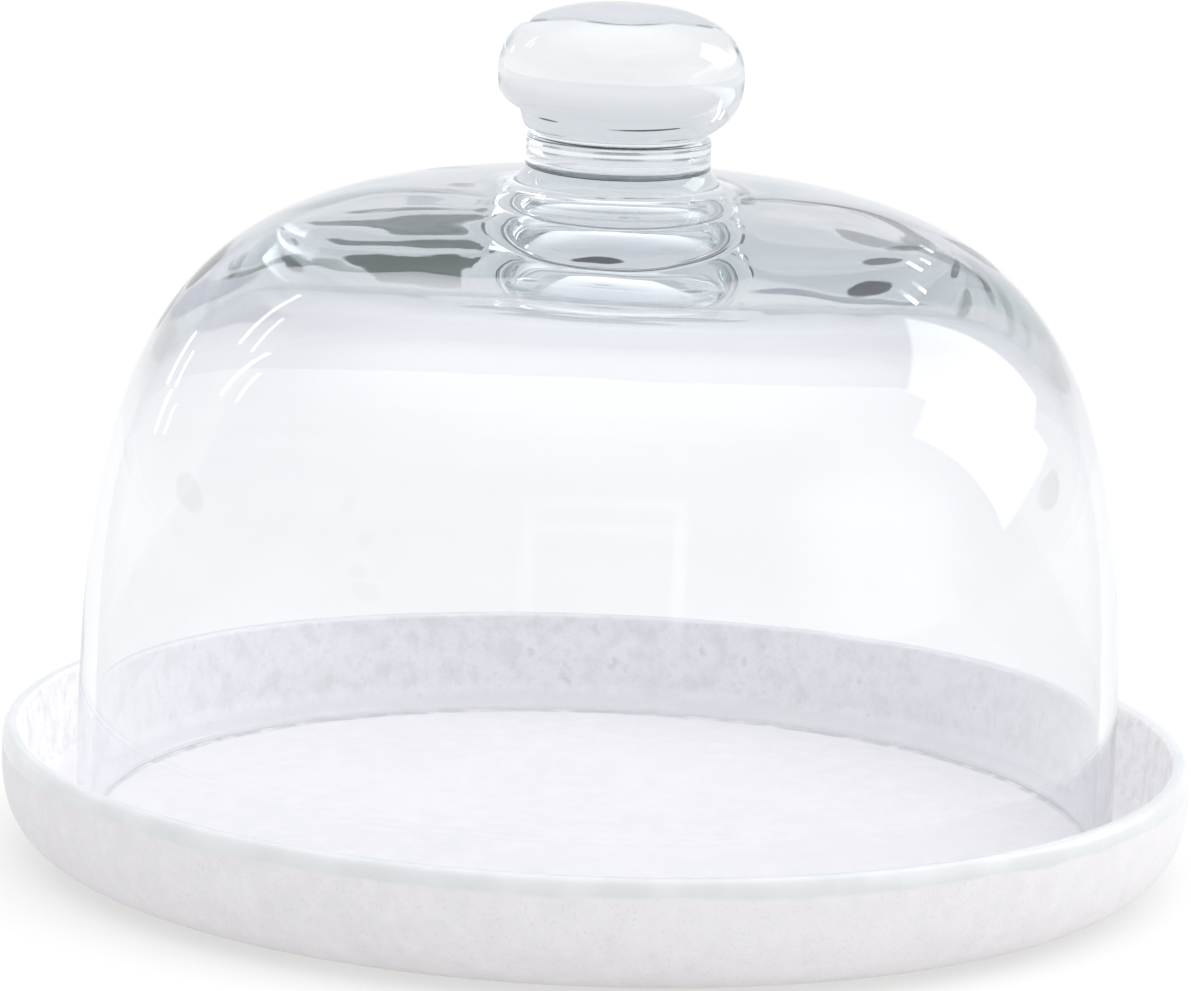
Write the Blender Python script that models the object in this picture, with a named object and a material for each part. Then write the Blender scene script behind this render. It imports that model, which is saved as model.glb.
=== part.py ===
"""Glass bell on a low ceramic tray, as three turned pieces on one upright axis.

Lengths are in metres. The origin is the middle of the tray's flat foot, on the table it stands
on, and +Z is up. The bell and its knob lift off along +Z; their parent empty is on that axis.
"""

import math

import bmesh
import bpy

# Tray
TRAY_RADIUS = 0.130
TRAY_HEIGHT = 0.027
TRAY_FLOOR = 0.0055
TRAY_WIDEST = 0.0238
TRAY_FOOT_RADIUS = 0.104
TRAY_BELLY_POWER = 3.0
LIP_INNER_RADIUS = 0.1260
LIP_INNER_ROUND = 0.0009
LIP_FLAT_EDGE = 0.1282
WELL_FOOT_RADIUS = 0.1240
WELL_FILLET = 0.0060

# Bell: thin at the wall, thick at the crown
BELL_RADIUS = 0.1136
BELL_RISE = 0.1421
BELL_SIDE_POWER = 3.6
BELL_CROWN_POWER = 3.4
BELL_WALL = 0.0036
CROWN_THICKNESS = 0.0110
CAVITY_SIDE_POWER = 4.0
CAVITY_CROWN_POWER = 3.6
BASE_ROUND = 0.0016
RESTING_GAP = 0.0003

# Knob: a flattened ball on a waist that flares into the crown
BALL_RADIUS = 0.0266
BALL_HALF_HEIGHT = 0.0152
BALL_MIDDLE = 0.1722
BALL_POWER = 2.5
BALL_LAST_ANGLE = -48
WAIST_RADIUS = 0.0200
WAIST_TOP = 0.1588
WAIST_BOTTOM = 0.1545
FLARE_RADIUS = 0.0290
FLARE_SPREAD_POWER = 2.0
FLARE_DROP_POWER = 0.7
FUSED_GAP = 0.0003

# Fineness of the turned meshes
TRAY_SEGMENTS = 72
BELL_SEGMENTS = 64
KNOB_SEGMENTS = 40
FILLET_STEPS = 4
LIP_STEPS = 3
BELLY_STEPS = 8
BELL_OUTSIDE_STEPS = 15
BELL_INSIDE_STEPS = 13
BASE_STEPS = 3
BALL_STEPS = 13
FLARE_STEPS = 4
MERGE_DISTANCE = 0.00001

CIRCLE = 2.0
BELL_BASE = TRAY_FLOOR + RESTING_GAP
CAVITY_RADIUS = BELL_RADIUS - BELL_WALL
CAVITY_RISE = BELL_RISE - CROWN_THICKNESS


def clear_scene():
    for thing in list(bpy.data.objects):
        bpy.data.objects.remove(thing, do_unlink=True)


def rounded(centre, radii, power, start, end, steps):
    """Points of a superellipse arc about centre, from angle start to angle end in degrees."""
    points = []
    for step in range(steps + 1):
        angle = math.radians(start + (end - start) * step / steps)
        across = math.cos(angle)
        along = math.sin(angle)
        x = centre[0] + radii[0] * math.copysign(abs(across) ** (2 / power), across)
        z = centre[1] + radii[1] * math.copysign(abs(along) ** (2 / power), along)
        points.append((x, z))
    return points


def crown_height(radius):
    """Height of the bell's outer surface at a radius."""
    share = 1 - (radius / BELL_RADIUS) ** BELL_SIDE_POWER
    return BELL_BASE + BELL_RISE * share ** (1 / BELL_CROWN_POWER)


def bell_surface(radius, rise, side_power, crown_power, steps):
    """Points down a bell-shaped surface, from just off the axis to its foot, at even angles."""
    points = []
    for step in range(1, steps + 1):
        angle = math.radians(90 * (1 - step / steps))
        x = radius * math.cos(angle) ** (2 / side_power)
        z = BELL_BASE + rise * math.sin(angle) ** (2 / crown_power)
        points.append((x, z))
    return points


def tray_outline():
    """From the middle of the floor, over the lip and down the belly to the middle of the foot."""
    fillet_centre = (WELL_FOOT_RADIUS - WELL_FILLET, TRAY_FLOOR + WELL_FILLET)
    inner_centre = (LIP_INNER_RADIUS + LIP_INNER_ROUND, TRAY_HEIGHT - LIP_INNER_ROUND)
    outer_centre = (LIP_FLAT_EDGE, TRAY_WIDEST)
    outer_radii = (TRAY_RADIUS - LIP_FLAT_EDGE, TRAY_HEIGHT - TRAY_WIDEST)
    belly_centre = (TRAY_FOOT_RADIUS, TRAY_WIDEST)
    belly_radii = (TRAY_RADIUS - TRAY_FOOT_RADIUS, TRAY_WIDEST)
    outline = [(0.0, TRAY_FLOOR)]
    outline += rounded(fillet_centre, (WELL_FILLET, WELL_FILLET), CIRCLE, -90, 0, FILLET_STEPS)
    outline += rounded(inner_centre, (LIP_INNER_ROUND, LIP_INNER_ROUND), CIRCLE, 180, 90, LIP_STEPS)
    outline += rounded(outer_centre, outer_radii, CIRCLE, 90, 0, LIP_STEPS)
    outline += rounded(belly_centre, belly_radii, TRAY_BELLY_POWER, 0, -90, BELLY_STEPS)[1:]
    outline.append((0.0, 0.0))
    return outline


def bell_outline():
    """Down the outside from the crown, round the base edge and up the cavity to its ceiling."""
    outside = bell_surface(
        BELL_RADIUS, BELL_RISE, BELL_SIDE_POWER, BELL_CROWN_POWER, BELL_OUTSIDE_STEPS
    )
    inside = bell_surface(
        CAVITY_RADIUS, CAVITY_RISE, CAVITY_SIDE_POWER, CAVITY_CROWN_POWER, BELL_INSIDE_STEPS
    )
    outer_foot = (BELL_RADIUS - BASE_ROUND, BELL_BASE + BASE_ROUND)
    inner_foot = (CAVITY_RADIUS + BASE_ROUND, BELL_BASE + BASE_ROUND)
    outline = [(0.0, BELL_BASE + BELL_RISE)]
    outline += outside[:-1]
    outline += rounded(outer_foot, (BASE_ROUND, BASE_ROUND), CIRCLE, 0, -90, BASE_STEPS)
    outline += rounded(inner_foot, (BASE_ROUND, BASE_ROUND), CIRCLE, -90, -180, BASE_STEPS)
    outline += reversed(inside[:-1])
    outline.append((0.0, BELL_BASE + CAVITY_RISE))
    return outline


def knob_outline():
    """Down the ball and the waist, out along the flare, then back in along the crown."""
    ball_radii = (BALL_RADIUS, BALL_HALF_HEIGHT)
    ball = rounded((0.0, BALL_MIDDLE), ball_radii, BALL_POWER, 90, BALL_LAST_ANGLE, BALL_STEPS)
    outline = [(0.0, ball[0][1])] + ball[1:]
    outline.append((WAIST_RADIUS, WAIST_TOP))
    flare_foot = crown_height(FLARE_RADIUS) + 2 * FUSED_GAP
    for step in range(FLARE_STEPS + 1):
        share = step / FLARE_STEPS
        x = WAIST_RADIUS + (FLARE_RADIUS - WAIST_RADIUS) * share**FLARE_SPREAD_POWER
        z = WAIST_BOTTOM + (flare_foot - WAIST_BOTTOM) * share**FLARE_DROP_POWER
        outline.append((x, z))
    for share in (1.0, 0.6, 0.3):
        x = FLARE_RADIUS * share
        outline.append((x, crown_height(x) + FUSED_GAP))
    outline.append((0.0, BELL_BASE + BELL_RISE + FUSED_GAP))
    return outline


def material(name, colour, roughness, transmission):
    made = bpy.data.materials.new(name)
    made.use_nodes = True
    shader = made.node_tree.nodes["Principled BSDF"]
    shader.inputs["Base Color"].default_value = (*colour, 1.0)
    shader.inputs["Roughness"].default_value = roughness
    shader.inputs["Metallic"].default_value = 0.0
    shader.inputs["Transmission Weight"].default_value = transmission
    return made


def turned(name, outline, segments, finish, parent):
    """A closed piece turned about the parent's upright axis from its half outline."""
    mesh = bpy.data.meshes.new(name)
    shape = bmesh.new()
    corners = [shape.verts.new((x, 0.0, z)) for x, z in outline]
    for first, second in zip(corners, corners[1:]):
        shape.edges.new((first, second))
    shape.to_mesh(mesh)
    shape.free()
    mesh.materials.append(finish)
    piece = bpy.data.objects.new(name, mesh)
    bpy.context.scene.collection.objects.link(piece)
    piece.parent = parent
    turn = piece.modifiers.new("Turn", "SCREW")
    turn.axis = "Z"
    turn.angle = math.tau
    turn.steps = segments
    turn.render_steps = segments
    turn.use_merge_vertices = True
    turn.merge_threshold = MERGE_DISTANCE
    turn.use_smooth_shade = True
    return piece


def build():
    clear_scene()
    lift_axis = bpy.data.objects.new("dome_axis", None)
    bpy.context.scene.collection.objects.link(lift_axis)
    stoneware = material("stoneware", (0.87, 0.87, 0.88), 0.75, 0.0)
    bell_glass = material("bell_glass", (0.95, 0.98, 0.97), 0.03, 1.0)
    knob_glass = material("knob_glass", (0.93, 0.97, 0.95), 0.03, 1.0)
    turned("plate", tray_outline(), TRAY_SEGMENTS, stoneware, None)
    turned("dome_shell", bell_outline(), BELL_SEGMENTS, bell_glass, lift_axis)
    turned("knob", knob_outline(), KNOB_SEGMENTS, knob_glass, lift_axis)


build()
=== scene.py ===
import math

import bmesh
import bpy
from mathutils import Matrix, Vector, noise


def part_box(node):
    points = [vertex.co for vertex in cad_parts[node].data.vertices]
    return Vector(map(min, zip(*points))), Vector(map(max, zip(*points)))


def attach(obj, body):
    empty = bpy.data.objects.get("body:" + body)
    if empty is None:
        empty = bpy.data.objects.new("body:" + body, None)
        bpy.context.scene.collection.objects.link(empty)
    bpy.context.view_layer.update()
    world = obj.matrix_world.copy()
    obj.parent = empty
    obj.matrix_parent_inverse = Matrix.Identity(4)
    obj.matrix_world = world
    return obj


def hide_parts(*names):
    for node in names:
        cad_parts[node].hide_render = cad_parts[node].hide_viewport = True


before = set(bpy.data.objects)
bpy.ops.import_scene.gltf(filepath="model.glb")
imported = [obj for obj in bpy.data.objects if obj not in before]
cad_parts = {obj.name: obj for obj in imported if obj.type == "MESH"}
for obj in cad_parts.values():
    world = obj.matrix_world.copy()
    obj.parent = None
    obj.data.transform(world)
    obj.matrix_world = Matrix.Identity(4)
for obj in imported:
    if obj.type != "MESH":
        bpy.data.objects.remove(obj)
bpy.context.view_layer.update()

# A clear glass bell with a ball knob on a low stoneware tray, in metres, on the frame's upright axis.
# +Z is up and -Y is the side that the photograph shows.
MM = 0.001

# ---------------------------------------------------------------- sizes read from the frame
tray_low, tray_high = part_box("plate")
bell_low, bell_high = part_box("dome_shell")
knob_low, knob_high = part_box("knob")

TRAY_RADIUS = tray_high.x
TRAY_TOP = tray_high.z
BELL_RADIUS = bell_high.x
BELL_BASE = bell_low.z
BELL_RISE = bell_high.z - bell_low.z
KNOB_TOP = knob_high.z
RESTING_GAP = 0.3 * MM
TRAY_FLOOR = BELL_BASE - RESTING_GAP

# ---------------------------------------------------------------- shapes
# Bell
BELL_SIDE_POWER = 3.6
BELL_CROWN_POWER = 3.4
BELL_WALL = 3.6 * MM
CROWN_THICKNESS = 11.0 * MM
CAVITY_SIDE_POWER = 4.0
CAVITY_CROWN_POWER = 3.6
CAVITY_FIRST_RADIUS = 1 * MM
BASE_ROUND = 1.6 * MM

# Knob: a flattened ball down to its crease, then a waist that flares into the crown
BALL_RADIUS = 26.6 * MM
BALL_HALF_HEIGHT = 15.2 * MM
BALL_POWER = 2.5
BALL_LAST_ANGLE = -46
WAIST_RADIUS = 20.0 * MM
WAIST_TOP_DROP = 2.2 * MM
WAIST_LOW_DROP = 7.0 * MM
FLARE_RADIUS = 27.0 * MM

# Handles of the curves down the waist: how far each reaches from the end that it belongs to
CREASE_HANDLE = (1.2 * MM, 0.9 * MM)
WAIST_TOP_HANDLE = 0.9 * MM
WAIST_HANDLE = 1 * MM
FLARE_START_HANDLE = 3.2 * MM
FLARE_END_HANDLE = (3.5 * MM, 0.3 * MM)

# Tray
TRAY_WIDEST = 23.8 * MM
TRAY_FOOT = 104 * MM
BELLY_POWER = 3.0
LIP_INNER = 126.0 * MM
LIP_INNER_ROUND = 1.2 * MM
LIP_FLAT = 128.2 * MM
WELL_FILLET = 6 * MM
WELL_FILLET_START = 118 * MM
WELL_WALL_HANDLES = ((124.4 * MM, 16 * MM), (125.6 * MM, 22 * MM))
FLOOR_RINGS = (20, 40, 60, 80, 100, 112)
FOOT_RINGS = (100, 80, 60, 40, 20)

# Fineness of the turned meshes
SEGMENTS = 256
BALL_STEPS = 46
CREASE_STEPS = 6
WAIST_STEPS = 4
FLARE_STEPS = 12
OUTSIDE_STEPS = 70
INSIDE_STEPS = 80
BASE_STEPS = 6
FILLET_STEPS = 12
WELL_WALL_STEPS = 8
LIP_INNER_STEPS = 6
LIP_STEPS = 10
BELLY_STEPS = 40

CIRCLE = 2


def rounded(centre, radii, power, start, end, steps):
    """Points of a superellipse arc about centre, from angle start to angle end in degrees."""
    points = []
    for step in range(steps + 1):
        angle = math.radians(start + (end - start) * step / steps)
        across = math.cos(angle)
        along = math.sin(angle)
        x = centre[0] + radii[0] * math.copysign(abs(across) ** (2 / power), across)
        z = centre[1] + radii[1] * math.copysign(abs(along) ** (2 / power), along)
        points.append((x, z))
    return points


def crown_height(radius):
    """Height of the bell's outer surface at a radius."""
    share = max(0.0, 1 - (radius / BELL_RADIUS) ** BELL_SIDE_POWER)
    return BELL_BASE + BELL_RISE * share ** (1 / BELL_CROWN_POWER)


def bell_surface(radius, rise, side_power, crown_power, first_radius, steps):
    """Points down a bell-shaped surface, from first_radius to its foot."""
    start = math.degrees(math.asin(min(1.0, (first_radius / radius) ** (side_power / 2))))
    points = []
    for step in range(steps + 1):
        angle = math.radians(90 - start) * (1 - step / steps)
        x = radius * math.cos(angle) ** (2 / side_power)
        z = BELL_BASE + rise * math.sin(angle) ** (2 / crown_power)
        points.append((x, z))
    return points


def curve_through(a, a_out, b_in, b, steps):
    """Points of a cubic Bezier from a to b, without its first point."""
    points = []
    for step in range(1, steps + 1):
        t = step / steps
        s = 1 - t
        x = s**3 * a[0] + 3 * s * s * t * a_out[0] + 3 * s * t * t * b_in[0] + t**3 * b[0]
        z = s**3 * a[1] + 3 * s * s * t * a_out[1] + 3 * s * t * t * b_in[1] + t**3 * b[1]
        points.append((x, z))
    return points


def knob_outline():
    """Down the ball, the waist and the flare, to where the flare meets the crown."""
    ball_middle = KNOB_TOP - BALL_HALF_HEIGHT
    ball_radii = (BALL_RADIUS, BALL_HALF_HEIGHT)
    ball = rounded((0.0, ball_middle), ball_radii, BALL_POWER, 90, BALL_LAST_ANGLE, BALL_STEPS)
    outline = [(0.0, ball[0][1])] + ball[1:]
    crease = outline[-1]
    waist_top = (WAIST_RADIUS, crease[1] - WAIST_TOP_DROP)
    waist_low = (WAIST_RADIUS, crease[1] - WAIST_LOW_DROP)
    flare = (FLARE_RADIUS, crown_height(FLARE_RADIUS))

    crease_out = (crease[0] - CREASE_HANDLE[0], crease[1] - CREASE_HANDLE[1])
    top_in = (WAIST_RADIUS, waist_top[1] + WAIST_TOP_HANDLE)
    outline += curve_through(crease, crease_out, top_in, waist_top, CREASE_STEPS)
    top_out = (WAIST_RADIUS, waist_top[1] - WAIST_HANDLE)
    low_in = (WAIST_RADIUS, waist_low[1] + WAIST_HANDLE)
    outline += curve_through(waist_top, top_out, low_in, waist_low, WAIST_STEPS)
    low_out = (WAIST_RADIUS, waist_low[1] - FLARE_START_HANDLE)
    flare_in = (FLARE_RADIUS - FLARE_END_HANDLE[0], flare[1] + FLARE_END_HANDLE[1])
    outline += curve_through(waist_low, low_out, flare_in, flare, FLARE_STEPS)
    return outline


def glass_outline():
    """Down the knob and the outside of the bell, round its base and up the cavity to its ceiling."""
    cavity_radius = BELL_RADIUS - BELL_WALL
    cavity_rise = BELL_RISE - CROWN_THICKNESS
    outside = bell_surface(
        BELL_RADIUS, BELL_RISE, BELL_SIDE_POWER, BELL_CROWN_POWER, FLARE_RADIUS, OUTSIDE_STEPS
    )
    inside = bell_surface(
        cavity_radius,
        cavity_rise,
        CAVITY_SIDE_POWER,
        CAVITY_CROWN_POWER,
        CAVITY_FIRST_RADIUS,
        INSIDE_STEPS,
    )
    outer_foot = (BELL_RADIUS - BASE_ROUND, BELL_BASE + BASE_ROUND)
    inner_foot = (cavity_radius + BASE_ROUND, BELL_BASE + BASE_ROUND)
    base_radii = (BASE_ROUND, BASE_ROUND)
    outline = knob_outline()
    outline += outside[1:-1]
    outline += rounded(outer_foot, base_radii, CIRCLE, 0, -90, BASE_STEPS)
    outline += rounded(inner_foot, base_radii, CIRCLE, -90, -180, BASE_STEPS)
    outline += reversed(inside[:-1])
    outline.append((0.0, BELL_BASE + cavity_rise))
    return outline


def tray_outline():
    """From the middle of the floor, over the lip and down the belly to the middle of the foot."""
    fillet_middle = (WELL_FILLET_START, TRAY_FLOOR + WELL_FILLET)
    lip_start = (LIP_INNER, TRAY_TOP - LIP_INNER_ROUND)
    lip_middle = (LIP_INNER + LIP_INNER_ROUND, TRAY_TOP - LIP_INNER_ROUND)
    lip_radii = (TRAY_RADIUS - LIP_FLAT, TRAY_TOP - TRAY_WIDEST)
    belly_radii = (TRAY_RADIUS - TRAY_FOOT, TRAY_WIDEST)
    outline = [(0.0, TRAY_FLOOR)]
    outline += [(x * MM, TRAY_FLOOR) for x in FLOOR_RINGS]
    outline += rounded(fillet_middle, (WELL_FILLET, WELL_FILLET), CIRCLE, -90, 0, FILLET_STEPS)
    outline += curve_through(outline[-1], *WELL_WALL_HANDLES, lip_start, WELL_WALL_STEPS)
    inner_radii = (LIP_INNER_ROUND, LIP_INNER_ROUND)
    outline += rounded(lip_middle, inner_radii, CIRCLE, 180, 90, LIP_INNER_STEPS)[1:]
    outline += rounded((LIP_FLAT, TRAY_WIDEST), lip_radii, CIRCLE, 90, 0, LIP_STEPS)
    outline += rounded((TRAY_FOOT, TRAY_WIDEST), belly_radii, BELLY_POWER, 0, -90, BELLY_STEPS)[1:]
    outline += [(x * MM, 0.0) for x in FOOT_RINGS]
    outline.append((0.0, 0.0))
    return outline


def turned(name, outline, wobble):
    """A closed mesh turned about the Z axis. wobble(x, z, angle, index) gives a moved (x, z)."""
    shape = bmesh.new()
    rings = []
    last = len(outline) - 1
    for index, (x, z) in enumerate(outline):
        if index in (0, last):
            _, h = wobble(x, z, 0.0, index)
            rings.append([shape.verts.new((0.0, 0.0, h))])
            continue
        ring = []
        for turn in range(SEGMENTS):
            angle = math.tau * turn / SEGMENTS
            r, h = wobble(x, z, angle, index)
            ring.append(shape.verts.new((r * math.cos(angle), r * math.sin(angle), h)))
        rings.append(ring)
    for upper, lower in zip(rings, rings[1:]):
        for turn in range(SEGMENTS):
            after = (turn + 1) % SEGMENTS
            if len(upper) == 1:
                corners = (upper[0], lower[turn], lower[after])
            elif len(lower) == 1:
                corners = (upper[turn], lower[0], upper[after])
            else:
                corners = (upper[turn], lower[turn], lower[after], upper[after])
            shape.faces.new(corners)
    mesh = bpy.data.meshes.new(name)
    shape.normal_update()
    shape.to_mesh(mesh)
    shape.free()
    mesh.shade_smooth()
    piece = bpy.data.objects.new(name, mesh)
    bpy.context.scene.collection.objects.link(piece)
    return piece


# ---------------------------------------------------------------- hand-made unevenness
CROWN_ONLY_POWER = 6
CAVITY_RIPPLE = 0.10 * MM
KNOB_RIPPLE = 0.35 * MM
CAVITY_RIPPLE_SIZE = 21 * MM
KNOB_REACH = 45 * MM
CAVITY_SWELL = 0.25 * MM
CAVITY_SWELL_SIZE = 46 * MM
OUTSIDE_RIPPLE = 0.10 * MM
OUTSIDE_RIPPLE_SIZE = 30 * MM
OUTSIDE_RIPPLE_START = 30 * MM
RIM_OUT_OF_ROUND = 0.20 * MM
RIM_MARGIN = 0.10 * MM
RIM_DROP = 0.15 * MM
RIM_START = 110 * MM


def waves(x, y, z, size, seed):
    """Smooth noise of about -1 to 1, with features of about size metres."""
    return noise.noise(Vector((x / size + seed, y / size - seed, z / size + 3 * seed)))


def round_the_rim(angle, lobes, seed):
    """Smooth noise of about -1 to 1 that closes on itself round the axis."""
    return noise.noise(Vector((lobes * math.cos(angle), lobes * math.sin(angle), seed)))


def uneven_glass(cavity_start):
    """The blown glass: a nearly even outside, and a cavity whose crown is wavier towards the knob."""

    def wobble(x, z, angle, index):
        across, along = x * math.cos(angle), x * math.sin(angle)
        crown = max(0.0, (z - BELL_BASE) / BELL_RISE) ** CROWN_ONLY_POWER
        if index >= cavity_start:
            near_knob = math.exp(-((x / KNOB_REACH) ** 2))
            depth = (CAVITY_RIPPLE + KNOB_RIPPLE * near_knob) * crown
            shift = depth * waves(across, along, z, CAVITY_RIPPLE_SIZE, seed=4.3)
            shift += CAVITY_SWELL * crown * waves(across, along, z, CAVITY_SWELL_SIZE, seed=1.7)
            return x, z + shift
        if z < KNOB_TOP - 2 * BALL_HALF_HEIGHT:
            shift = OUTSIDE_RIPPLE * crown * waves(across, along, z, OUTSIDE_RIPPLE_SIZE, seed=8.1)
            return x, z + shift * min(1.0, x / OUTSIDE_RIPPLE_START)
        return x, z

    return wobble


def uneven_tray(x, z, angle, index):
    """The thrown tray: a rim a little out of true, never past the frame's box."""
    rim = max(0.0, (z - TRAY_FLOOR) / (TRAY_TOP - TRAY_FLOOR))
    shift = RIM_OUT_OF_ROUND * rim * round_the_rim(angle, lobes=3, seed=0.7) - RIM_MARGIN
    drop = RIM_DROP * rim * (round_the_rim(angle, lobes=2, seed=5.2) - 0.5)
    if x > RIM_START:
        x += min(0.0, shift)
    return x, z + min(0.0, drop)


# ---------------------------------------------------------------- node helpers
class Graph:
    """Short calls that add nodes to one tree. A value may be a number, a colour or a socket."""

    def __init__(self, tree):
        self.tree = tree
        tree.nodes.clear()

    def node(self, kind, inputs=(), **settings):
        made = self.tree.nodes.new(kind)
        for name, value in settings.items():
            setattr(made, name, value)
        for key, value in dict(inputs).items():
            self.put(made.inputs[key], value)
        return made

    def put(self, socket, value):
        if isinstance(value, bpy.types.NodeSocket):
            self.tree.links.new(value, socket)
        elif socket.type == "RGBA" and len(value) == 3:
            socket.default_value = (*value, 1.0)
        else:
            socket.default_value = value

    def math(self, operation, first, second=0.0):
        return self.node("ShaderNodeMath", {0: first, 1: second}, operation=operation).outputs[0]

    def product(self, *values):
        result = values[0]
        for value in values[1:]:
            result = self.math("MULTIPLY", result, value)
        return result

    def reach(self, u, v):
        """Length of the flat vector (u, v)."""
        squares = self.math("ADD", self.math("POWER", u, 2.0), self.math("POWER", v, 2.0))
        return self.math("SQRT", squares)

    def swing(self, value, size):
        """Noise of 0 to 1 as a swing of size about 0."""
        return self.product(self.math("SUBTRACT", value, 0.5), size)

    def dot(self, first, second):
        made = self.node("ShaderNodeVectorMath", {0: first, 1: second}, operation="DOT_PRODUCT")
        return made.outputs["Value"]

    def fade(self, value, start, end, low=0.0, high=1.0):
        """Goes smoothly from low at start to high at end."""
        inputs = {"Value": value, "From Min": start, "From Max": end, "To Min": low, "To Max": high}
        made = self.node("ShaderNodeMapRange", inputs, interpolation_type="SMOOTHSTEP")
        return made.outputs["Result"]

    def mix(self, factor, first, second):
        made = self.node("ShaderNodeMix", data_type="RGBA")
        for index, value in ((0, factor), (6, first), (7, second)):
            self.put(made.inputs[index], value)
        return made.outputs[2]

    def noise(self, place, scale, detail, roughness=0.5, distortion=0.0):
        inputs = {
            "Vector": place,
            "Scale": scale,
            "Detail": detail,
            "Roughness": roughness,
            "Distortion": distortion,
        }
        return self.node("ShaderNodeTexNoise", inputs).outputs["Fac"]


def new_material(name):
    made = bpy.data.materials.new(name)
    made.use_nodes = True
    return made, Graph(made.node_tree)


# ---------------------------------------------------------------- materials
GLASS_TINT = (0.945, 0.952, 0.966)
GLASS_EDGE_TINT = (0.60, 0.66, 0.73)
GLASS_DEPTH = (0.225, 0.35, 0.40)
GLASS_PASSES = (0.985, 0.985, 0.985)
GLASS_IOR = 1.5
GLASS_DENSITY = 4.0
EDGE_ON = (0.72, 0.96)
SMEAR_ROUGHNESS = 0.035
RIPPLE_STRENGTH = 0.10
RIPPLE_DEPTH = 0.6 * MM

BODY_COOL = (0.738, 0.722, 0.742)
BODY_WARM = (0.768, 0.752, 0.768)
BODY_CHALK = (0.790, 0.773, 0.782)
BODY_DULL = (0.715, 0.698, 0.722)
BODY_GRAIN = (0.64, 0.62, 0.65)
# Painted light: the well's inner wall is painted paler
WELL_WALL_PAINTED_LIGHT = (0.935, 0.925, 0.935)
# Painted shade: a dark grey ring on the tray round the bell's base, for the dark line at the glass's
# base edge
BELL_EDGE_PAINTED_SHADE = (0.40, 0.45, 0.44)
SPECK = (0.52, 0.47, 0.43)
GLAZE_THIN = (0.675, 0.695, 0.700)
GLAZE_POOLED = (0.725, 0.738, 0.745)
GLAZE_ROUGHNESS = 0.24
BODY_ROUGHNESS = (0.62, 0.82)
RELIEF_STRENGTH = 0.35
RELIEF_DEPTH = 0.35 * MM

# Where the finishes of the tray and its painted light and shade lie: heights above the table, depths
# under the lip and radii
GLAZE_FADE_DEPTHS = (4.6 * MM, 3.6 * MM)
GLAZE_FADE_RADII = (126 * MM, 127 * MM)
GLAZE_WAVER = 2.6 * MM
WELL_WALL_HEIGHTS = (6.5 * MM, 10 * MM)
WELL_WALL_RADII = (127.0 * MM, 126.2 * MM)
RING_INNER_RADII = (109.6 * MM, 110.6 * MM)
RING_OUTER_RADII = (114.2 * MM, 113.4 * MM)
RING_HEIGHTS = (4.4 * MM, 5.0 * MM)

FLOOR_DULL = (0.430, 0.428, 0.422)
FLOOR_PALE = (0.450, 0.448, 0.440)
FLOOR_GLOW = (1.0, 1.0, 0.99)
FLOOR_GLOW_STRENGTH = 0.47


def glass_material():
    """Clear glass with a trace of green in its depth, wiped but not spotless."""
    made, graph = new_material("clear_glass")
    place = graph.node("ShaderNodeTexCoord").outputs["Object"]
    smears = graph.noise(place, 38.0, detail=4.0, roughness=0.6, distortion=0.8)
    ripple = graph.noise(place, 26.0, detail=2.0, roughness=0.4, distortion=0.4)
    bump = graph.node(
        "ShaderNodeBump",
        {"Strength": RIPPLE_STRENGTH, "Distance": RIPPLE_DEPTH, "Height": ripple},
    ).outputs["Normal"]
    # Glass seen nearly edge-on is a little darker, which draws the bell's outline
    facing = graph.node("ShaderNodeLayerWeight", {"Blend": 0.5}).outputs["Facing"]
    shader = graph.node(
        "ShaderNodeBsdfPrincipled",
        {
            "Base Color": graph.mix(graph.fade(facing, *EDGE_ON), GLASS_TINT, GLASS_EDGE_TINT),
            "Roughness": graph.fade(smears, 0.56, 0.80, low=0.0, high=SMEAR_ROUGHNESS),
            "IOR": GLASS_IOR,
            "Transmission Weight": 1.0,
            "Normal": bump,
        },
    )
    absorb = graph.node("ShaderNodeVolumeAbsorption", {"Color": GLASS_DEPTH, "Density": GLASS_DENSITY})
    # Light on its way to the tray and the table goes straight through, as thin glass lets it
    path = graph.node("ShaderNodeLightPath").outputs
    clear = graph.node("ShaderNodeBsdfTransparent", {"Color": GLASS_PASSES}).outputs[0]
    surface = shader.outputs[0]
    for kind in ("Is Diffuse Ray", "Is Shadow Ray"):
        surface = graph.node("ShaderNodeMixShader", {0: path[kind], 1: surface, 2: clear}).outputs[0]
    graph.node("ShaderNodeOutputMaterial", {"Surface": surface, "Volume": absorb.outputs[0]})
    return made


def glaze_mask(graph, place, height, radius):
    """1 on the glazed band, whose lower edge wavers, and 0 on the bare body."""
    waver = graph.swing(graph.noise(place, 55.0, detail=3.0), GLAZE_WAVER)
    edge = graph.math("ADD", height, waver)
    band = graph.fade(edge, *[TRAY_TOP - depth for depth in GLAZE_FADE_DEPTHS])
    return graph.product(band, graph.fade(radius, *GLAZE_FADE_RADII))


def specks(graph, place):
    """1 in the middle of a few small iron specks of different sizes."""
    spots = graph.node("ShaderNodeTexVoronoi", {"Vector": place, "Scale": 95.0, "Randomness": 1.0})
    chance = graph.node("ShaderNodeSeparateColor", {0: spots.outputs["Color"]}).outputs
    some = graph.math("GREATER_THAN", chance[0], 0.83)
    size = graph.node(
        "ShaderNodeMath", {0: chance[1], 1: 0.055, 2: 0.03}, operation="MULTIPLY_ADD"
    ).outputs[0]
    return graph.product(graph.fade(spots.outputs["Distance"], size, 0.0), some)


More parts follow.
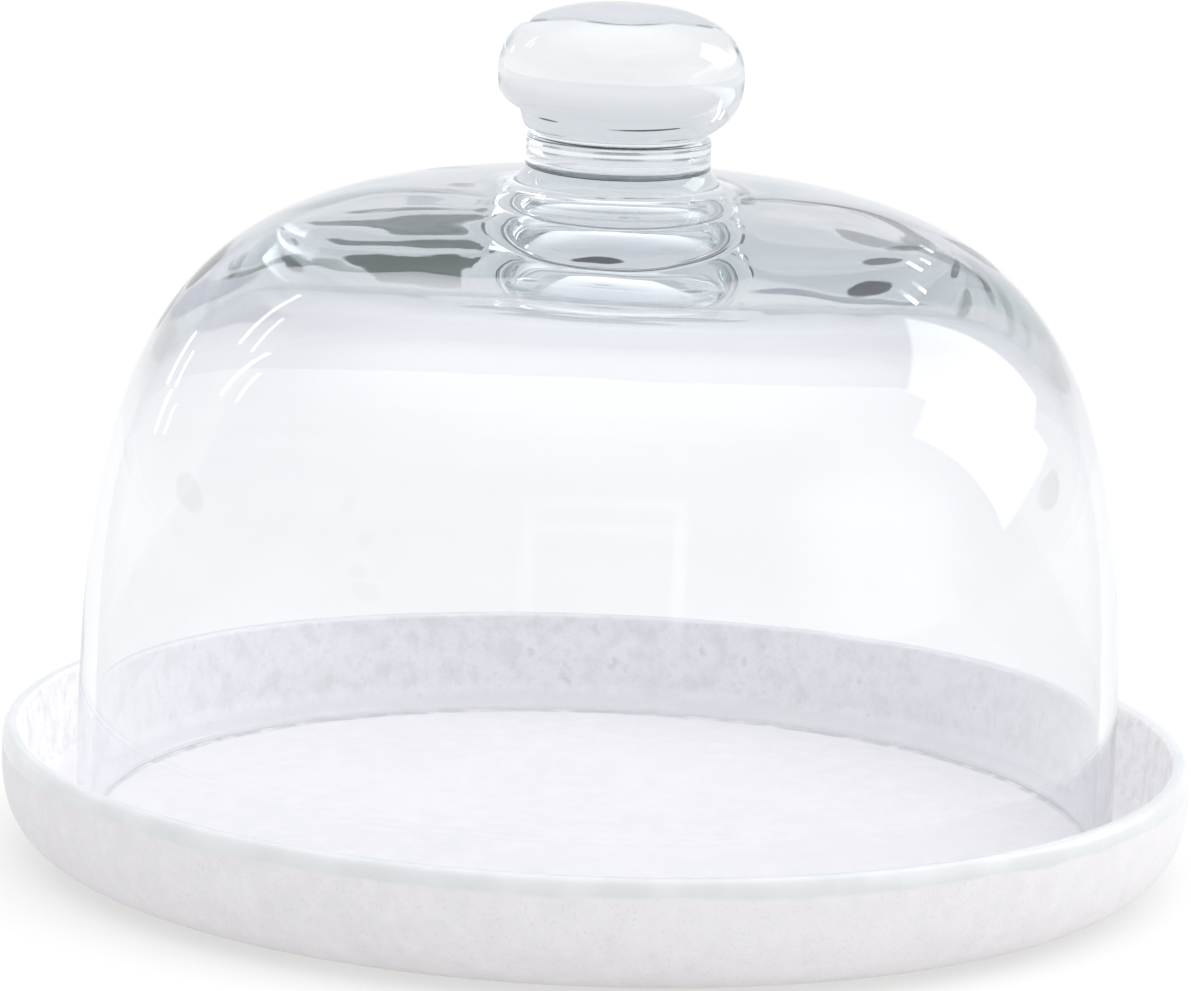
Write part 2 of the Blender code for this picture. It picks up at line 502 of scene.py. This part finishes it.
def stoneware_material():
    """Chalky white stoneware with a thin satin glaze wiped round its lip."""
    made, graph = new_material("stoneware")
    place = graph.node("ShaderNodeTexCoord").outputs["Object"]
    height = graph.node("ShaderNodeSeparateXYZ", {0: place}).outputs["Z"]
    flat = graph.node("ShaderNodeVectorMath", {0: place, 1: (1, 1, 0)}, operation="MULTIPLY").outputs[0]
    radius = graph.node("ShaderNodeVectorMath", {0: flat}, operation="LENGTH").outputs["Value"]
    glaze = glaze_mask(graph, place, height, radius)
    speck = specks(graph, place)

    broad = graph.noise(place, 22.0, detail=4.0, roughness=0.55)
    mottle = graph.noise(place, 190.0, detail=5.0, roughness=0.65)
    grain = graph.noise(place, 1500.0, detail=3.0, roughness=0.6)
    body = graph.mix(graph.fade(broad, 0.32, 0.68), BODY_COOL, BODY_WARM)

    # Painted light: the inside of the rim is painted a little paler, for light falling on the well's
    # wall
    above_floor = graph.fade(height, *WELL_WALL_HEIGHTS)
    inside_rim = graph.fade(radius, *WELL_WALL_RADII)
    painted_light_wall = graph.product(above_floor, inside_rim)
    body = graph.mix(graph.product(painted_light_wall, 0.85), body, WELL_WALL_PAINTED_LIGHT)

    # Painted shade: a faint dark grey ring on the tray's floor where the bell stands, standing in for
    # the dark line at the glass's base edge
    past_inner_edge = graph.fade(radius, *RING_INNER_RADII)
    before_outer_edge = graph.fade(radius, *RING_OUTER_RADII)
    not_underneath = graph.fade(height, *RING_HEIGHTS)
    patchy = graph.fade(broad, 0.25, 0.60, low=0.35, high=0.80)
    ring = graph.product(past_inner_edge, before_outer_edge, not_underneath, patchy)
    body = graph.mix(ring, body, BELL_EDGE_PAINTED_SHADE)

    body = graph.mix(graph.fade(mottle, 0.40, 0.72), body, BODY_CHALK)
    body = graph.mix(graph.fade(mottle, 0.42, 0.25), body, BODY_DULL)
    body = graph.mix(graph.fade(grain, 0.56, 0.72, low=0.0, high=0.60), body, BODY_GRAIN)
    body = graph.mix(graph.product(speck, 0.55), body, SPECK)

    pooled = graph.noise(place, 85.0, detail=3.0, roughness=0.5)
    shine = graph.mix(graph.fade(pooled, 0.35, 0.65), GLAZE_THIN, GLAZE_POOLED)
    dry = graph.fade(mottle, 0.3, 0.7, *BODY_ROUGHNESS)
    roughness = graph.node(
        "ShaderNodeMix", {0: glaze, 2: dry, 3: GLAZE_ROUGHNESS}, data_type="FLOAT"
    ).outputs[0]

    relief = graph.product(graph.noise(place, 620.0, detail=4.0, roughness=0.6), 0.55)
    relief = graph.math("ADD", relief, graph.product(grain, 0.35))
    relief = graph.math("ADD", relief, graph.product(broad, 1.2))
    relief = graph.math("SUBTRACT", relief, graph.product(speck, 0.9))
    bare = graph.math("SUBTRACT", 1.0, graph.product(glaze, 0.8))
    bump = graph.node(
        "ShaderNodeBump",
        {
            "Strength": graph.product(bare, RELIEF_STRENGTH),
            "Distance": RELIEF_DEPTH,
            "Height": relief,
        },
    ).outputs["Normal"]
    shader = graph.node(
        "ShaderNodeBsdfPrincipled",
        {
            "Base Color": graph.mix(glaze, body, shine),
            "Roughness": roughness,
            "Specular IOR Level": 0.4,
            "Normal": bump,
        },
    )
    graph.node("ShaderNodeOutputMaterial", {"Surface": shader.outputs[0]})
    return made


def floor_material():
    """Smooth pale board, hardly mottled, with a little light of its own that softens shadows."""
    made, graph = new_material("pale_floor")
    place = graph.node("ShaderNodeTexCoord").outputs["Object"]
    cloud = graph.noise(place, 6.0, detail=3.0)
    shader = graph.node(
        "ShaderNodeBsdfPrincipled",
        {
            "Base Color": graph.mix(graph.fade(cloud, 0.3, 0.7), FLOOR_DULL, FLOOR_PALE),
            "Roughness": 0.9,
            "Specular IOR Level": 0.1,
            "Emission Color": FLOOR_GLOW,
            "Emission Strength": FLOOR_GLOW_STRENGTH,
        },
    )
    graph.node("ShaderNodeOutputMaterial", {"Surface": shader.outputs[0]})
    return made


# ---------------------------------------------------------------- stage
FLOOR_RADIUS = 6.0
FLOOR_SEGMENTS = 96
FLOOR_DROP = 0.2 * MM


def make_floor():
    shape = bmesh.new()
    bmesh.ops.create_circle(shape, cap_ends=True, segments=FLOOR_SEGMENTS, radius=FLOOR_RADIUS)
    mesh = bpy.data.meshes.new("floor")
    shape.to_mesh(mesh)
    shape.free()
    floor = bpy.data.objects.new("floor", mesh)
    floor.location.z = -FLOOR_DROP
    bpy.context.scene.collection.objects.link(floor)
    mesh.materials.append(floor_material())


# Least depth in front of a flat card that still counts as facing it
LEAST_DEPTH = 0.05


def towards(azimuth, elevation):
    """Unit vector. Azimuth runs from +Y, straight behind the object, round to +X, its right."""
    turn, rise = math.radians(azimuth), math.radians(elevation)
    return Vector((math.sin(turn) * math.cos(rise), math.cos(turn) * math.cos(rise), math.sin(rise)))


def card(graph, sky, centre, half_size, tilt, edge, round_card=False):
    """1 inside a flat card a unit away in the direction centre, 0 outside, with a soft edge."""
    facing = towards(*centre)
    level = facing.cross(Vector((0, 0, 1))).normalized()
    rise = level.cross(facing)
    turn = math.radians(tilt)
    across = level * math.cos(turn) + rise * math.sin(turn)
    along = rise * math.cos(turn) - level * math.sin(turn)
    depth = graph.dot(sky, facing)
    front = graph.math("GREATER_THAN", depth, LEAST_DEPTH)
    u = graph.math("DIVIDE", graph.dot(sky, across / half_size[0]), depth)
    v = graph.math("DIVIDE", graph.dot(sky, along / half_size[1]), depth)
    if round_card:
        reach = graph.reach(u, v)
    else:
        reach = graph.math("MAXIMUM", graph.math("ABSOLUTE", u), graph.math("ABSOLUTE", v))
    return graph.product(graph.fade(reach, 1 + edge, 1 - edge), front)


# The crown passes light on many times inside itself, and goes black with fewer bounces
MOST_BOUNCES = 24

# Colours of the room, and the heights between which the walls and the ceiling fade in
ROOM_STRENGTH = 0.96
HORIZON = (1.03, 1.03, 1.04)
WALLS = (0.86, 0.87, 0.90)
CEILING = (1.90, 1.90, 1.94)
WALLS_START = (0.02, 0.20)
CEILING_START = (0.60, 0.95)
LEAF = (0.045, 0.085, 0.070)
SHADE = (0.035, 0.040, 0.060)
SLATE = (0.25, 0.26, 0.32)
INK = (0.030, 0.030, 0.050)
LAVENDER = (0.52, 0.52, 0.60)
MINT = (0.66, 0.74, 0.74)
THIRD_OF_ROOM = 120.0
RAGGEDNESS = 0.8

# What the glass bends into view: azimuth and elevation of its middle, half width and half height,
# all in degrees, colour, and the fewest and the most glass surfaces that it is seen past
DARK_THINGS = (
    ((3.5, 31.0), (4.5, 2.2), INK, (4, 6)),
    ((40.0, 15.5), (11.0, 5.0), LEAF, (4, 7)),
    ((-38.0, 15.0), (10.5, 5.0), LEAF, (4, 7)),
    ((1.0, 14.5), (12.5, 3.2), LEAF, (5, 6)),
    ((11.0, 7.0), (6.5, 4.5), LEAF, (7, MOST_BOUNCES)),
    ((22.0, 6.2), (10.0, 2.8), LEAF, (9, MOST_BOUNCES)),
    ((-3.5, 14.5), (2.4, 2.4), LEAF, (3, 3)),
    ((-3.0, 8.6), (2.6, 1.5), SHADE, (3, 3)),
    ((-6.0, 5.4), (4.0, 1.5), SHADE, (3, 3)),
    ((-28.0, 5.0), (4.5, 3.5), SHADE, (9, MOST_BOUNCES)),
    ((5.0, 7.0), (1.9, 1.4), LAVENDER, (5, 7)),
    ((-9.5, 13.5), (4.2, 6.0), LAVENDER, (3, 4)),
    ((6.0, 12.0), (5.5, 5.0), MINT, (3, 3)),
    ((4.5, 22.0), (1.6, 3.5), SLATE, (3, 3)),
    ((52.0, 7.0), (6.0, 2.5), SHADE, (3, MOST_BOUNCES)),
    ((-10.0, 15.0), (13.0, 0.6), LEAF, (2, 2)),
    ((27.0, 14.0), (5.0, 0.7), LEAF, (2, 2)),
    ((30.0, 21.0), (10.0, 0.9), LEAF, (2, 2)),
    ((-22.0, 20.0), (8.0, 0.9), LEAF, (2, 2)),
)

# Lamps and windows: direction of the middle, half width and half height of a card a unit away,
# tilt and colour. The last two are one window, its bright frame and then its duller pane.
LIGHT_CARDS = (
    ((62.5, 26.0), (0.26, 0.28), -8.0, (3.8, 3.85, 3.9)),
    ((-51.0, 32.0), (0.14, 0.012), 50.0, (5.0, 5.0, 5.0)),
    ((-59.0, 32.0), (0.09, 0.010), 50.0, (4.0, 4.0, 4.0)),
    ((-42.0, 11.0), (0.07, 0.013), 62.0, (5.0, 5.0, 5.0)),
    ((-47.0, 12.0), (0.05, 0.010), 62.0, (4.0, 4.0, 4.0)),
    ((180.0, 14.0), (0.33, 0.24), 0.0, (1.35, 1.35, 1.38)),
    ((180.0, 14.0), (0.27, 0.19), 0.0, (0.85, 0.86, 0.89)),
)
CARD_EDGE = 0.05

# Broad soft patches: direction of the middle, half size, softness, strength and colour
SOFT_PATCHES = (
    ((112, 14), (0.36, 0.36), 0.6, 0.7, (1.9, 1.9, 1.92)),
    ((-150, 8), (0.60, 0.45), 0.8, 0.35, (0.50, 0.50, 0.53)),
)


def add_dark_things(graph, sky, parts, light):
    """Mixes the dark things into light, the same few in each third of the room."""
    azimuth = graph.math("DEGREES", graph.math("ARCTAN2", parts["X"], parts["Y"]))
    azimuth = graph.node(
        "ShaderNodeMath",
        {0: azimuth, 1: THIRD_OF_ROOM / 2, 2: -THIRD_OF_ROOM / 2},
        operation="WRAP",
    ).outputs[0]
    elevation = graph.math("DEGREES", graph.math("ARCSINE", parts["Z"]))
    ragged = graph.swing(graph.noise(sky, 11.0, detail=2.0), RAGGEDNESS)
    path = graph.node("ShaderNodeLightPath").outputs
    surfaces = graph.math("SUBTRACT", path["Ray Depth"], 1.0)
    for place, half_size, colour, (fewest, most) in DARK_THINGS:
        u = graph.math("DIVIDE", graph.math("SUBTRACT", azimuth, place[0]), half_size[0])
        v = graph.math("DIVIDE", graph.math("SUBTRACT", elevation, place[1]), half_size[1])
        inside = graph.fade(graph.math("ADD", graph.reach(u, v), ragged), 1.12, 0.88)
        enough = graph.math("GREATER_THAN", surfaces, fewest - 0.5)
        few = graph.math("LESS_THAN", surfaces, most + 0.5)
        thing = graph.product(inside, path["Is Transmission Ray"], enough, few)
        light = graph.mix(thing, light, colour)
    return light


def make_world():
    """A pale studio: bright above, lamps and windows round it, and dark things low down."""
    world = bpy.data.worlds.new("studio")
    bpy.context.scene.world = world
    world.use_nodes = True
    graph = Graph(world.node_tree)
    sky = graph.node("ShaderNodeTexCoord").outputs["Generated"]
    parts = graph.node("ShaderNodeSeparateXYZ", {0: sky}).outputs
    light = graph.mix(graph.fade(parts["Z"], *WALLS_START), HORIZON, WALLS)
    light = graph.mix(graph.fade(parts["Z"], *CEILING_START), light, CEILING)
    light = add_dark_things(graph, sky, parts, light)
    for centre, half_size, tilt, colour in LIGHT_CARDS:
        light = graph.mix(card(graph, sky, centre, half_size, tilt, CARD_EDGE), light, colour)
    for centre, half_size, softness, strength, colour in SOFT_PATCHES:
        patch = card(graph, sky, centre, half_size, 0.0, softness, True)
        light = graph.mix(graph.product(patch, strength), light, colour)
    back = graph.node("ShaderNodeBackground", {"Color": light, "Strength": ROOM_STRENGTH})
    graph.node("ShaderNodeOutputWorld", {"Surface": back.outputs[0]})


# Camera: its height is above the tray's lip
SENSOR_WIDTH = 36.0
LENS = 220.6
CLIP = (0.05, 50.0)
VIEW_ELEVATION = 13.26
VIEW_DISTANCE = 1.6
VIEW_ROLL = 2.14
VIEW_AIM = (-2.2 * MM, 0.0, 79.7 * MM)


def make_camera():
    """A long lens from the front, a little above, rolled slightly clockwise."""
    data = bpy.data.cameras.new("camera")
    data.sensor_width = SENSOR_WIDTH
    data.lens = LENS
    data.clip_start, data.clip_end = CLIP
    camera = bpy.data.objects.new("camera", data)
    bpy.context.scene.collection.objects.link(camera)
    elevation = math.radians(VIEW_ELEVATION)
    back = VIEW_DISTANCE * math.cos(elevation)
    eye = Vector((0, -back, TRAY_TOP + VIEW_DISTANCE * math.sin(elevation)))
    forward = (Vector(VIEW_AIM) - eye).normalized()
    right = forward.cross(Vector((0, 0, 1))).normalized()
    up = right.cross(forward)
    roll = math.radians(VIEW_ROLL)
    turned_right = right * math.cos(roll) + up * math.sin(roll)
    turned_up = up * math.cos(roll) - right * math.sin(roll)
    pose = Matrix((turned_right, turned_up, -forward)).transposed().to_4x4()
    pose.translation = eye
    camera.matrix_world = pose
    bpy.context.scene.camera = camera


# ---------------------------------------------------------------- pieces
def make_glass():
    outline = glass_outline()
    foot = min(range(len(outline)), key=lambda index: outline[index][1])
    glass = turned("glass_bell", outline, uneven_glass(foot + BASE_STEPS))
    glass.data.materials.append(glass_material())
    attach(glass, "dome")
    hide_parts("dome_shell", "knob")


def make_tray():
    tray = turned("tray", tray_outline(), uneven_tray)
    tray.data.materials.append(stoneware_material())
    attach(tray, "tray")
    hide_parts("plate")


make_glass()
make_tray()
make_floor()
make_world()
make_camera()
bpy.context.scene.view_settings.view_transform = "Standard"
for kind in ("max_bounces", "glossy_bounces", "transmission_bounces"):
    setattr(bpy.context.scene.cycles, kind, MOST_BOUNCES)
